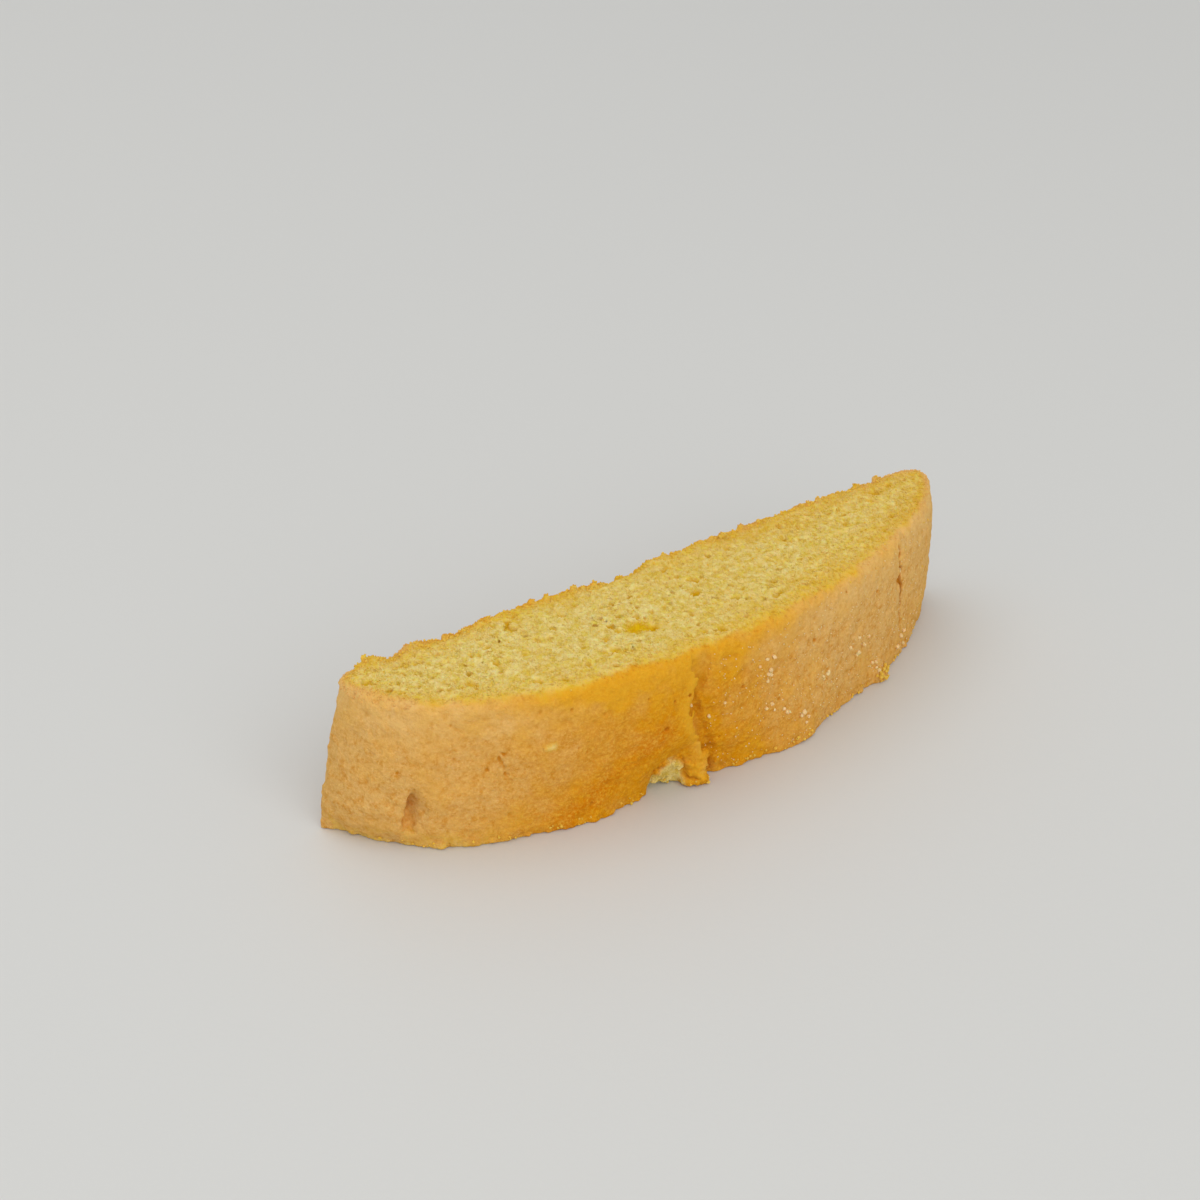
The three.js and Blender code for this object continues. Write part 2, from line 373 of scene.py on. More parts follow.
def clump_heights(cell, seed):
    """Rounded clumps over the plan, one to a cell, with tops of their own up to 1."""
    draw = np.random.default_rng(seed)
    counts = [int((axis[-1] - axis[0]) / cell) + 3 for axis in axes[:2]]
    middle_x, middle_y = draw.uniform(0, 1, (2, *counts)).astype(np.float32)
    tops = draw.uniform(*CLUMP_TOPS, counts).astype(np.float32)
    x = ((axes[0] - axes[0][0]) / cell + 1)[:, None]
    y = ((axes[1] - axes[1][0]) / cell + 1)[None, :]
    heights = np.zeros((len(axes[0]), len(axes[1])), dtype=np.float32)
    for step_x in (-1, 0, 1):
        for step_y in (-1, 0, 1):
            i = np.floor(x).astype(int) + step_x
            j = np.floor(y).astype(int) + step_y
            away = (x - i - middle_x[i, j]) ** 2 + (y - j - middle_y[i, j]) ** 2
            heights = np.maximum(heights, tops[i, j] * (1 - 1.1 * away))
    return heights[:, :, None]


def at_points(field, points):
    """The values of a grid field at points, by trilinear interpolation."""
    places = (points / VOXEL) - first_index
    whole = np.clip(np.floor(places).astype(int), 0, np.array(SHAPE) - 2)
    part = np.clip(places - whole, 0, 1)
    field = np.broadcast_to(field, SHAPE)
    total = np.zeros(len(points))
    for corner in np.ndindex(2, 2, 2):
        weight = np.prod(np.where(corner, part, 1 - part), axis=1)
        i, j, k = (whole + corner).T
        total += weight * field[i, j, k]
    return total


def cad_surface():
    """The CAD slice's corners and triangles, in millimetres."""
    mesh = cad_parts[NODE].data
    mesh.calc_loop_triangles()
    points = np.empty(3 * len(mesh.vertices))
    mesh.vertices.foreach_get("co", points)
    triangles = np.empty(3 * len(mesh.loop_triangles), dtype=int)
    mesh.loop_triangles.foreach_get("vertices", triangles)
    return points.reshape(-1, 3) / MM, triangles.reshape(-1, 3)


def level_outline(points, triangles, level):
    """The segments in which the CAD surface crosses a height."""
    segments = []
    above = points[triangles][:, :, 2] > level
    crossed = above.any(axis=1) & ~above.all(axis=1)
    for corners in points[triangles[crossed]]:
        ends = []
        for i in range(3):
            a, b = corners[i], corners[(i + 1) % 3]
            if (a[2] > level) != (b[2] > level):
                ends.append((a + (b - a) * (level - a[2]) / (b[2] - a[2]))[:2])
        segments.append(ends)
    return segments


def plan_distance(segments, px, py):
    """Signed distance in plan to a closed outline, negative inside it."""
    nearest = np.full(np.broadcast(px, py).shape, np.inf)
    inside = np.zeros(nearest.shape, dtype=bool)
    for (ax, ay), (bx, by) in segments:
        ex, ey = bx - ax, by - ay
        length = max(ex * ex + ey * ey, 1e-12)
        t = np.clip(((px - ax) * ex + (py - ay) * ey) / length, 0, 1)
        nearest = np.minimum(nearest, (px - ax - t * ex) ** 2 + (py - ay - t * ey) ** 2)
        if ay != by:
            inside ^= ((ay > py) != (by > py)) & (px < ax + ex * (py - ay) / ey)
    return np.where(inside, -1, 1) * np.sqrt(nearest)


def wall_distance(points, triangles):
    """Distance to the CAD slice's side wall all over the grid, negative inside."""
    coarse = [np.arange(axis[0], axis[-1] + PLAN_STEP, PLAN_STEP) for axis in axes[:2]]
    px, py = coarse[0][:, None], coarse[1][None, :]
    planes = [plan_distance(level_outline(points, triangles, level), px, py) for level in LEVELS]
    field = np.stack(planes, axis=2).astype(np.float32)
    field = along_axis(field, 2, np.interp(axes[2], LEVELS, range(len(LEVELS))))
    for i in (1, 0):
        field = along_axis(field, i, (axes[i] - axes[i][0]) / PLAN_STEP)
    return field


def cut_face_heights(points):
    """The height of the upper cut face along X, as a straight line fitted to the CAD's."""
    top = points[points[:, 2] > CUT_FACE_SHARE * high_corner[2]]
    slope, height = np.polyfit(top[:, 0], top[:, 2], 1)
    return (height + slope * axes[0]).astype(np.float32)[:, None, None]


class Dough:
    """The slice as a field of distances, negative inside, with ways to cut and add."""

    def __init__(self, field):
        self.field = field

    def ellipsoid(self, centre, radii, blend):
        """The part of the grid near an ellipsoid, and the distance to it there."""
        cuts = []
        for axis, middle, radius in zip(axes, centre, radii):
            half = radius + blend + VOXEL
            cuts.append(slice(*np.searchsorted(axis, (middle - half, middle + half))))
        x, y, z = X[cuts[0]], Y[:, cuts[1]], Z[:, :, cuts[2]]
        span = ((x - centre[0]) / radii[0]) ** 2 + ((y - centre[1]) / radii[1]) ** 2
        span = np.sqrt(span + ((z - centre[2]) / radii[2]) ** 2)
        return tuple(cuts), (span - 1) * min(radii)

    def carve(self, centre, radii, blend=0.15):
        cuts, distance = self.ellipsoid(centre, radii, blend)
        self.field[cuts] = smooth_max(self.field[cuts], -distance, blend)

    def add(self, centre, radii, blend=0.2):
        cuts, distance = self.ellipsoid(centre, radii, blend)
        self.field[cuts] = smooth_min(self.field[cuts], distance, blend)


def grid_index(axis, place):
    return int(np.clip(np.searchsorted(axes[axis], place), 0, SHAPE[axis] - 1))


def on_dome(wall, x, z):
    """The point of the domed wall at a place along X and a height."""
    column = wall[grid_index(0, x), :, grid_index(2, z)]
    return (x, axes[1][np.argmax(column < 0)], z)


def pore_radius(depth, size):
    """Pores are fine close under the crust, and open out further in."""
    opening = float(smooth_step(0.3, 4.0, depth))
    return min(size, LARGEST_PORE) * (0.25 + 0.75 * opening)


def open_pores(dough, wall, heights):
    """Opens the crumb's pores, shallow and soft-edged, at both cut faces."""
    places_x = np.arange(low_corner[0], high_corner[0], PORE_SPACING)
    places_y = np.arange(low_corner[1], high_corner[1], PORE_SPACING)
    for surface, smallest in ((heights, SMALLEST_PORE["top"]), (0 * heights, SMALLEST_PORE["base"])):
        for x in places_x:
            for y in places_y:
                shift = rng.uniform(-PORE_STRAY, PORE_STRAY, 3) * (1, 1, 0.3)
                size = PORE_SIZE * rng.lognormal(0, PORE_SPREAD)
                stretch = rng.uniform(*PORE_STRETCH)
                centre = np.array((x, y, surface[grid_index(0, x), 0, 0])) + shift
                i, j, k = [grid_index(axis, place) for axis, place in enumerate(centre)]
                depth = -wall[i, j, k]
                if depth < PORE_START:
                    continue
                radius = pore_radius(depth, size)
                if radius > smallest:
                    dough.carve(centre, (radius, radius * stretch, radius), blend=0.3)


def groove(dough, wall, line):
    """A narrow wavering line cut into the dome between two heights."""
    for z in np.arange(*line["z"], GROOVE["step"]):
        x = np.interp(z, line["z"], line["x"]) + line["wobble"] * math.sin(GROOVE["waves"] * z)
        x = x + rng.normal(0, GROOVE["stray"])
        size = line["size"] * (1 + GROOVE["swell"] * math.sin(GROOVE["swells"] * z))
        dough.carve(on_dome(wall, x, z), (size, line["depth"], GROOVE["half_height"]), blend=0.25)


def mark_the_dome(dough, wall):
    """The split, the dents, the grooves, the flake and the small pits of the dome."""
    open_the_split(dough, wall)
    for x, z, wide, deep, high in DOME_HOLLOWS.values():
        dough.carve(on_dome(wall, x, z), (wide, deep, high), blend=0.6)
    groove(dough, wall, CREASE)
    groove(dough, wall, HAIRLINE)
    x, y, z = on_dome(wall, FLAKE["x"], FLAKE["z"])
    dough.add((x, y - FLAKE["out"], z), FLAKE["radii"], blend=0.15)
    for _ in range(CRUST_PITS["count"]):
        x, z = rng.uniform(*CRUST_PITS["x"]), rng.uniform(*CRUST_PITS["z"])
        size = rng.uniform(*CRUST_PITS["size"])
        dough.carve(on_dome(wall, x, z), (size, 0.5 * size + 0.1, size), blend=0.2)


def split_place(z):
    """How far along X the split lies at a height."""
    return np.interp(z, SPLIT_HEIGHTS, SPLIT_PLACES)


def open_the_split(dough, wall):
    """A soft ridge down the dome with a hollow along its right side."""
    for z in np.arange(*SPLIT_RIDGE["z"], SPLIT_RIDGE["step"]):
        x = split_place(z) - SPLIT_RIDGE["left"] + rng.normal(0, SPLIT_RIDGE["stray"])
        x, y, z = on_dome(wall, x, z)
        dough.add((x, y + SPLIT_RIDGE["sunk"], z), SPLIT_RIDGE["radii"], blend=0.9)
    for z in np.arange(*SPLIT_HOLLOW["z"], SPLIT_HOLLOW["step"]):
        x = split_place(z) + rng.normal(0, SPLIT_HOLLOW["stray"])
        depth = np.interp(z, SPLIT_HEIGHTS, SPLIT_DEPTHS) * rng.uniform(*SPLIT_HOLLOW["depth_share"])
        radii = (rng.uniform(*SPLIT_HOLLOW["half_width"]), depth, SPLIT_HOLLOW["half_height"])
        dough.carve(on_dome(wall, x, z), radii, blend=0.8)


def tear_the_base(dough, wall):
    """The gap under the torn place, its lumps of bare crumb and the block beside it."""
    dough.carve(TORN_GAP["centre"], TORN_GAP["radii"], blend=0.5)
    for lumps in (TORN_LUMPS, BLOCK_LUMPS):
        for _ in range(lumps["count"]):
            x, y, z = on_dome(wall, rng.uniform(*lumps["x"]), rng.uniform(*lumps["z"]))
            size = rng.uniform(*lumps["size"])
            out = rng.uniform(*lumps["out"])
            dough.add((x, y + 0.5 * size - out, z), (size, size, size), blend=0.15)


def rim_rise(x):
    """How far the far rim stands above the cut face at a place along X."""
    features = RIM_FEATURES.values()
    return sum(rise * np.exp(-((x - place) / half) ** 2) for place, half, rise in features)


def soften_the_split(wall):
    """The side wall, evened out along X round the split except near the base."""
    reach = round(SPLIT_SOFTENING["reach"] / VOXEL)
    evened = sum(np.roll(wall, step, axis=0) for step in range(-reach, reach + 1)) / (2 * reach + 1)
    away = X - split_place(axes[2])[None, None, :]
    share = np.exp(-((away / SPLIT_SOFTENING["half"]) ** 2)) * smooth_step(*SPLIT_SOFTENING["z"], Z)
    share = share * smooth_step(*DOME_SPAN, Y)
    return (wall + share * (evened - wall)).astype(np.float32)


def along_far_rim(spacing):
    """Places along the far rim, up to a distance from the ends of the slice."""
    return np.arange(low_corner[0] + RIM_ENDS, high_corner[0] - RIM_ENDS, spacing)


def ragged_flat_rim(dough, heights):
    """Bites out of the far rim, and crumbs that stand up along it."""
    rim_y = high_corner[1] - RIM_INSET
    for x in along_far_rim(RIM_SPACING):
        height = heights[grid_index(0, x), 0, 0] + rim_rise(x)
        centre = np.array((x, rim_y, height)) + rng.uniform(-RIM_STRAY, RIM_STRAY, 3)
        if rng.random() < NOTCH_SHARE:
            size = rng.uniform(*RIM_NOTCH)
            dough.carve(centre + (0, 0.7, 0.3), (size, size, size), blend=0.3)
        else:
            size = rng.uniform(*RIM_LUMP)
            dough.add(centre + (0, -0.3, -0.4 * size), (size, size, size), blend=0.25)


def near_high_side(axis, span, places):
    """How near places are to the slice's highest side along an axis, from none to full."""
    start, end = [high_corner[axis] - distance for distance in span]
    return smooth_step(start, end, places)


def torn_share():
    """How torn the slice is all over the grid, round the torn place at its foot."""
    torn_x = (X - TORN["x"]) / TORN["half_x"]
    torn_z = (Z - TORN["z"]) / TORN["half_z"]
    return np.exp(-(torn_x ** 2 + torn_z ** 2)) * smooth_step(*DOME_SPAN, Y)


def uneven_slice(wall, heights):
    """The slice before it is marked, the same without clumps, and how crumbly it is."""
    flat_side = near_high_side(1, FLAT_SIDE_SPAN, Y)
    crust = wall + (1 - 0.5 * flat_side) * layered_noise(CRUST_RELIEF, SEEDS["crust"])
    near_top = near_high_side(2, TOP_SPAN, Z)
    crust += flat_side * near_top * layered_noise(FLAT_RIM_RELIEF, SEEDS["flat rim"])
    crust += smooth_step(*BASE_SPAN, Z) * layered_noise(BASE_RIM_RELIEF, SEEDS["base rim"])

    rises = rim_rise(axes[0])[:, None, None] * flat_side
    top = Z - heights - rises - layered_noise(CUT_RELIEF, SEEDS["cut face"], dimensions=2)
    from_flat_side = flat_side * smooth_step(*FLAT_CRUMB_SPAN, wall)
    crumbly = np.maximum(smooth_step(*DOME_CRUMB_SPAN, wall), from_flat_side)
    layers = enumerate(CLUMPS, SEEDS["clumps"])
    clumps = sum(height * clump_heights(cell, seed) for seed, (cell, height) in layers)
    clumps -= CLUMP_LEVEL * sum(height for _, height in CLUMPS)

    base = 0 * X - Z
    rim = DOME_RIM + (FLAT_RIM - DOME_RIM) * flat_side
    field = smooth_max(smooth_max(crust, top - crumbly * clumps, rim), base, BASE_RIM)
    plain = smooth_max(smooth_max(crust, top, DOME_RIM), base, BASE_RIM)
    return field, plain, crumbly


def hollow_the_cut_face(dough, heights):
    """The larger pores and pockets of the upper cut face."""
    for x, y, sunk, wide, long, high in CUT_HOLLOWS.values():
        level = heights[grid_index(0, x), 0, 0]
        dough.carve((x, y, level - sunk + 0.5 * high), (wide, long, high), blend=0.5)


def model_slice():
    """The whole slice, with the fields that its colours are worked out from."""
    points, triangles = cad_surface()
    wall = soften_the_split(wall_distance(points, triangles))
    heights = cut_face_heights(points)
    field, plain, crumbly = uneven_slice(wall, heights)

    dough = Dough(field)
    mark_the_dome(dough, wall)
    tear_the_base(dough, wall)
    hollow_the_cut_face(dough, heights)
    ragged_flat_rim(dough, heights)
    open_pores(dough, wall, heights)

    torn = torn_share()
    crumbly = np.maximum(crumbly, smooth_step(*TORN_CRUMB, torn))
    dough.field += crumbly * layered_noise(CRUMB_GRAIN, SEEDS["crumb grain"])
    dough.field += (1 - crumbly) * layered_noise(CRUST_GRAIN, SEEDS["crust grain"])
    dough.field = np.maximum(dough.field, -Z)
    return dough, {"wall": wall, "plain": plain, "torn": torn}


def largest_part(points, quads):
    """The slice's own surface, without loose specks or bubbles sealed inside it."""
    label = np.arange(len(points))
    while True:
        corners = label[quads]
        lowest = corners.min(axis=1)
        joined = label.copy()
        for corner in corners.T:
            np.minimum.at(joined, corner, lowest)
        while True:
            jumped = joined[joined]
            if (jumped == joined).all():
                break
            joined = jumped
        if (joined == label).all():
            break
        label = joined
    names, counts = np.unique(label, return_counts=True)
    keep = label == names[counts.argmax()]
    renumber = np.cumsum(keep) - 1
    return points[keep], renumber[quads[keep[quads[:, 0]]]]


def new_object(name, points, faces, smooth=True):
    """A mesh object from points in millimetres."""
    mesh = bpy.data.meshes.new(name)
    mesh.from_pydata((np.asarray(points, dtype=float) * MM).tolist(), [], np.asarray(faces).tolist())
    mesh.polygons.foreach_set("use_smooth", [smooth] * len(mesh.polygons))
    piece = bpy.data.objects.new(name, mesh)
    bpy.context.scene.collection.objects.link(piece)
    return piece


def mesh_points(piece):
    """A mesh's points in millimetres."""
    points = np.empty(3 * len(piece.data.vertices))
    piece.data.vertices.foreach_get("co", points)
    return points.reshape(-1, 3) / MM


def mesh_of(dough, name):
    """The surface of the dough as a mesh of quads that face outwards."""
    grid = vdb.FloatGrid(BAND)
    field = np.clip(dough.field, -BAND, BAND).astype(np.float32)
    grid.copyFromArray(field, ijk=tuple(int(i) for i in first_index))
    points, _, quads = grid.convertToPolygons(isovalue=0.0, adaptivity=0.0)
    points, quads = largest_part(points * VOXEL, quads.astype(int))
    return new_object(name, points, quads)


def thin_out(piece, most_triangles):
    """Fewer triangles, spent where the surface bends most."""
    mesh = piece.data
    mesh.calc_loop_triangles()
    modifier = piece.modifiers.new("fewer", "DECIMATE")
    modifier.ratio = most_triangles / len(mesh.loop_triangles)
    modifier.use_collapse_triangulate = True
    depsgraph = bpy.context.evaluated_depsgraph_get()
    piece.data = bpy.data.meshes.new_from_object(piece.evaluated_get(depsgraph))
    piece.modifiers.clear()
    piece.data.name = piece.name
    bpy.data.meshes.remove(mesh)


def box_blur(field, reach):
    """The mean of a field over a cube of voxels round each voxel."""
    for axis in range(3):
        total = field.copy()
        for step in range(1, reach + 1):
            total += np.roll(field, step, axis=axis) + np.roll(field, -step, axis=axis)
        field = total / (2 * reach + 1)
    return field


def gold_share(x, z):
    """How golden the dome is at a place along X and a height."""
    reach = np.where(x < GOLD["x"], GOLD["left"], GOLD["right"])
    share = np.exp(-((x - GOLD["x"]) / reach) ** 2)
    low = smooth_step(LOW_GOLD["height"], 0, z) * smooth_step(*LOW_GOLD["left"], x)
    high = near_high_side(2, HIGH_GOLD["below_top"], z)
    high = high * smooth_step(*HIGH_GOLD["left"], x) * smooth_step(*HIGH_GOLD["right"], x)
    return share + LOW_GOLD["share"] * low + HIGH_GOLD["share"] * high


def ledge_shade_share(x, z):
    """How near a place is to the deep orange band of painted shade, under the ledge, that slants down
    left of the split.
    """
    start, end = np.array(LEDGE_SHADE_BAND["from"]), np.array(LEDGE_SHADE_BAND["to"])
    line = end - start
    along = np.clip(((x - start[0]) * line[0] + (z - start[1]) * line[1]) / (line @ line), 0, 1)
    away = np.hypot(x - start[0] - along * line[0], z - start[1] - along * line[1])
    return np.exp(-((away / LEDGE_SHADE_BAND["half"]) ** 2))


def ridge_highlight_share(x, z):
    """How near a place is to the ridge left of the split, or to the block under it, where a highlight
    is painted.
    """
    away = x - split_place(z) + SPLIT_RIDGE["left"]
    ridge = np.exp(-away ** 2) * smooth_step(*RIDGE_HIGHLIGHT["z"], z)
    block_x, block_z = [np.mean(BLOCK_LUMPS[key]) for key in ("x", "z")]
    half_x, half_z = RIDGE_HIGHLIGHT["block"]
    block = np.exp(-((x - block_x) / half_x) ** 2 - ((z - block_z) / half_z) ** 2)
    return np.maximum(ridge, block)


def bare_share(x, z, patches):
    """Where the dome is pale without being torn: the worn foot at the left, made paler still by
    painted light against the shade low down, and the flake.
    """
    worn = WORN_AND_PAINTED_LIGHT["share"] * smooth_step(*WORN_AND_PAINTED_LIGHT["z"], z) * smooth_step(*WORN_AND_PAINTED_LIGHT["x"], x) * patches
    wide, _, high = FLAKE["radii"]
    flake = np.exp(-((x - FLAKE["x"]) / wide) ** 4 - ((z - FLAKE["z"]) / high) ** 4)
    return np.maximum(worn, flake)


def colour_attributes(piece, fields):
    """What the biscuit's material reads at each point: crust, browning, painted shade in hollows,
    pores and under the ledge, and painted highlights on the ridge and the upper wall.
    """
    points = mesh_points(piece)
    x, y, z = points.T
    wall = at_points(fields["wall"], points)
    torn = at_points(fields["torn"], points)
    untorn = 1 - smooth_step(*TORN_BROWNING, torn)
    depth = -at_points(fields["plain"], points)
    below_top = high_corner[2] - z
    flat_side = near_high_side(1, FLAT_SIDE_COLOUR, y)
    dome = y < high_corner[1] - DOME_END
    patches = smooth_step(-0.6, 0.3, at_points(noise(WORN_AND_PAINTED_LIGHT["patch"], SEEDS["worn"]), points))
    bare = dome * bare_share(x, z, patches)

    skin_edge = at_points(layered_noise(SKIN_EDGE, SEEDS["skin"]), points)
    skin_depth = SKIN["depth"] + skin_edge - SKIN["flat_side_less"] * flat_side
    inner, outer = SKIN["fade"]
    skin = smooth_step(-skin_depth - inner, -skin_depth + outer, wall)
    skin = np.maximum(skin, smooth_step(*SKIN["wall"], below_top) * (z > SKIN["base"]))
    skin = skin * (1 - 0.8 * bare)

    right = dome * smooth_step(*RIM_FADE["right"], x)
    uneven = at_points(noise(RIM_FADE["patch"], SEEDS["browning"]), points)
    reach = RIM_FADE["reach"] + RIM_FADE["further"] * right + RIM_FADE["uneven"] * (1 + right) * uneven
    browned = np.exp(np.minimum(wall + 0.6, 0) / reach)

    shares = {
        "skin": skin * (1 - smooth_step(*TORN_SKIN, torn)),
        "bake": untorn * (1 - 0.7 * bare) * browned,
        # Painted shade: how far a point lies in a hollow, for darker crust there
        "hollow": 0.5 - HOLLOW_SHADE_GAIN * at_points(fields["blurred"], points) / BAND,
        # Painted shade: how deep a point lies in a pore, for deeper crumb colour there
        "deep": untorn * smooth_step(*PORE_SHADE_DEPTHS, depth),
        "gold": gold_share(x, z),
        # Painted shade: the band under the ledge left of the split
        "ledge_shade": dome * ledge_shade_share(x, z),
        # Painted highlight: the ridge left of the split and the block under it
        "ridge": dome * ridge_highlight_share(x, z),
        # Painted light: the upper wall turns paler towards the top
        "high": smooth_step(*PAINTED_LIGHT_UNDER_RIM, below_top),
        "flat_side": flat_side,
    }
    for name, values in shares.items():
        attribute = piece.data.attributes.new(name, "FLOAT", "POINT")
        attribute.data.foreach_set("value", np.clip(values, 0, 1).astype(np.float32))


def linear(display_colour):
    """The linear colour of a surface that shows as a display colour in full light."""
    channels = []
    for channel in display_colour:
        share = channel / 255
        bright = ((share + 0.055) / 1.055) ** 2.4 if share > 0.04045 else share / 12.92
        channels.append(bright / LIGHT_LEVEL)
    return (*channels, 1)


class Finish:
    """A material made of nodes, with short ways to add and join them."""

    def __init__(self, name, roughness):
        self.material = bpy.data.materials.new(name)
        self.material.use_nodes = True
        self.tree = self.material.node_tree
        self.surface = self.tree.nodes["Principled BSDF"]
        self.surface.inputs["Roughness"].default_value = roughness
        self.place = self.node("ShaderNodeTexCoord").outputs["Object"]

    def node(self, kind, values=(), **settings):
        """A node with settings, and values or links for its inputs by name or number."""
        made = self.tree.nodes.new(kind)
        for name, setting in settings.items():
            setattr(made, name, setting)
        for key, value in dict(values).items():
            self.set(made.inputs[key], value)
        return made

    def set(self, socket, value):
        if isinstance(value, bpy.types.NodeSocket):
            self.tree.links.new(value, socket)
        else:
            socket.default_value = value

    def attribute(self, name):
        return self.node("ShaderNodeAttribute", attribute_name=name).outputs["Fac"]

    def noise(self, cell, detail=2.0, roughness=0.5):
        """Noise between 0 and 1 whose patches are about a size in millimetres."""
        values = {"Vector": self.place, "Scale": 1 / (cell * MM), "Detail": detail,
                  "Roughness": roughness}
        return self.node("ShaderNodeTexNoise", values).outputs["Fac"]

    def specks(self, cell, size):
        """Dots of a size, scattered one to a cell, fading to their edges."""
        values = {"Vector": self.place, "Scale": 1 / (cell * MM)}
        distance = self.node("ShaderNodeTexVoronoi", values).outputs["Distance"]
        return self.span(distance, size / cell, 0.3 * size / cell)

    def span(self, value, low, high, to_low=0.0, to_high=1.0):
        """A value from a low to a high end brought to another span, and kept in it."""
        values = {0: value, 1: low, 2: high, 3: to_low, 4: to_high}
        return self.node("ShaderNodeMapRange", values).outputs[0]

    def maths(self, operation, a, b):
        values = {0: a, 1: b}
        return self.node("ShaderNodeMath", values, operation=operation).outputs[0]

    def mix(self, share, a, b):
        values = {0: share, 6: a, 7: b}
        return self.node("ShaderNodeMix", values, data_type="RGBA").outputs[2]

    def bump(self, height, distance, below=None):
        """Relief of a depth in millimetres."""
        values = {"Height": height, "Distance": distance * MM, "Strength": 1.0}
        if below is not None:
            values["Normal"] = below
        return self.node("ShaderNodeBump", values).outputs["Normal"]

    def soften(self, weight, depth):
        """Light that spreads under the surface, redder the further it goes."""
        self.surface.inputs["Subsurface Weight"].default_value = weight
        self.surface.inputs["Subsurface Radius"].default_value = (1.0, 0.6, 0.2)
        self.surface.inputs["Subsurface Scale"].default_value = depth * MM

    def finish(self, colour, normal=None):
        self.set(self.surface.inputs["Base Color"], colour)
        if normal is not None:
            self.set(self.surface.inputs["Normal"], normal)
        return self.material


def crumb_colour(finish, patches, gold):
    """Pale yellow crumb, deepened in its pores by painted shade, and browned towards the crust."""
    mottled = finish.span(finish.noise(1.2, detail=4, roughness=0.65), 0.38, 0.62)
    colour = finish.mix(mottled, linear(CRUMB), linear(CRUMB_LIGHT))
    toasted = finish.span(patches, 0.5, 0.75, 0, 0.25)
    colour = finish.mix(toasted, colour, linear(RIM_TAN))
    # Painted shade: deeper, more saturated crumb in the pores
    colour = finish.mix(finish.attribute("deep"), colour, linear(CRUMB_PORE_SHADE))
    rim = finish.mix(gold, linear(RIM_TAN), linear(RIM_GOLD))
    browned = finish.maths("MULTIPLY", finish.attribute("bake"), 0.9)
    return finish.mix(browned, colour, rim)


def crust_colour(finish, patches, gold):
    """Tan to golden crust with pale flecks and darker dots, painted shade in hollows and in a band
    under the ledge left of the split, and painted highlights on the ridge and high on the wall.
    """
    colour = finish.mix(gold, linear(CRUST_TAN), linear(CRUST_GOLD))
    browned = finish.span(finish.noise(2.2, detail=2), 0.45, 0.75)
    flat_side = finish.mix(browned, linear(FLAT_SIDE), linear(FLAT_SIDE_DARK))
    colour = finish.mix(finish.attribute("flat_side"), colour, flat_side)
    # Painted shade: a deep orange band under the ledge left of the split
    ledge_shade = finish.maths("MULTIPLY", finish.attribute("ledge_shade"), 0.85)
    colour = finish.mix(ledge_shade, colour, linear(CRUST_LEDGE_SHADE))
    pale = finish.mix(gold, linear(CRUST_LIGHT), linear(CRUST_LIGHT_GOLD))
    mottled = finish.span(finish.noise(1.4, detail=3, roughness=0.65), 0.48, 0.64, 0, 0.65)
    colour = finish.mix(mottled, colour, linear(CRUST_DEEP_AND_HOLLOW_SHADE))
    flecks = finish.span(finish.noise(0.5, detail=4, roughness=0.75), 0.44, 0.66, 0, 0.75)
    colour = finish.mix(flecks, colour, pale)
    dots = finish.maths("MULTIPLY", finish.specks(1.3, 0.36), 0.4)
    colour = finish.mix(dots, colour, linear(CRUST_DEEP_AND_HOLLOW_SHADE))
    floury = finish.span(patches, 0.5, 0.75, 0, 0.4)
    colour = finish.mix(floury, colour, pale)
    # Painted highlight on the ridge left of the split and the block under it
    colour = finish.mix(finish.maths("MULTIPLY", finish.attribute("ridge"), 0.6), colour, pale)
    # Painted light: the wall paler towards the top
    high = finish.maths("MULTIPLY", finish.attribute("high"), 0.5)
    colour = finish.mix(high, colour, pale)
    # Painted shade: darker crust in hollows
    painted_hollow_shade = finish.span(finish.attribute("hollow"), 0.54, 0.85, 0, 0.9)
    return finish.mix(painted_hollow_shade, colour, linear(CRUST_DEEP_AND_HOLLOW_SHADE))


def biscuit_material(name, soft):
    """Crumb and crust in one. Small grains aren't soft, as light would pass through them."""
    finish = Finish(name, roughness=0.85)
    patches = finish.noise(4.5, detail=3)
    uneven = finish.span(patches, 0.3, 0.7, -0.22, 0.22)
    gold = finish.maths("ADD", finish.attribute("gold"), uneven)
    gold = finish.span(gold, 0, 1)
    crumb = crumb_colour(finish, patches, gold)
    crust = crust_colour(finish, patches, gold)
    skin = finish.attribute("skin")
    colour = finish.mix(skin, crumb, crust)
    coarse = finish.bump(finish.noise(0.7, detail=3, roughness=0.6), 0.26)
    fine = finish.bump(finish.noise(0.28, detail=2), 0.11, below=coarse)
    finish.surface.inputs["Specular IOR Level"].default_value = 0.05
    if soft:
        finish.soften(weight=0.5, depth=1.3)
        finish.set(finish.surface.inputs["Subsurface Weight"], finish.span(skin, 0, 1, 0.6, 0.2))
    return finish.finish(colour, fine)


def sugar_material():
    finish = Finish("sugar", roughness=0.25)
    tint = finish.mix(finish.noise(0.4), linear(SUGAR), linear(CRUST_LIGHT))
    finish.soften(weight=0.5, depth=0.4)
    return finish.finish(tint, finish.bump(finish.noise(0.12), 0.02))


def crumb_material():
    finish = Finish("loose_crumb", roughness=0.9)
    colour = finish.mix(finish.noise(0.6), linear(LOOSE_CRUMB), linear(RIM_GOLD))
    finish.soften(weight=0.3, depth=0.6)
    return finish.finish(colour, finish.bump(finish.noise(0.2), 0.05))


def floor_material():
    finish = Finish("pale_floor", roughness=0.6)
    return finish.finish(linear(FLOOR), finish.bump(finish.noise(0.8), 0.02))


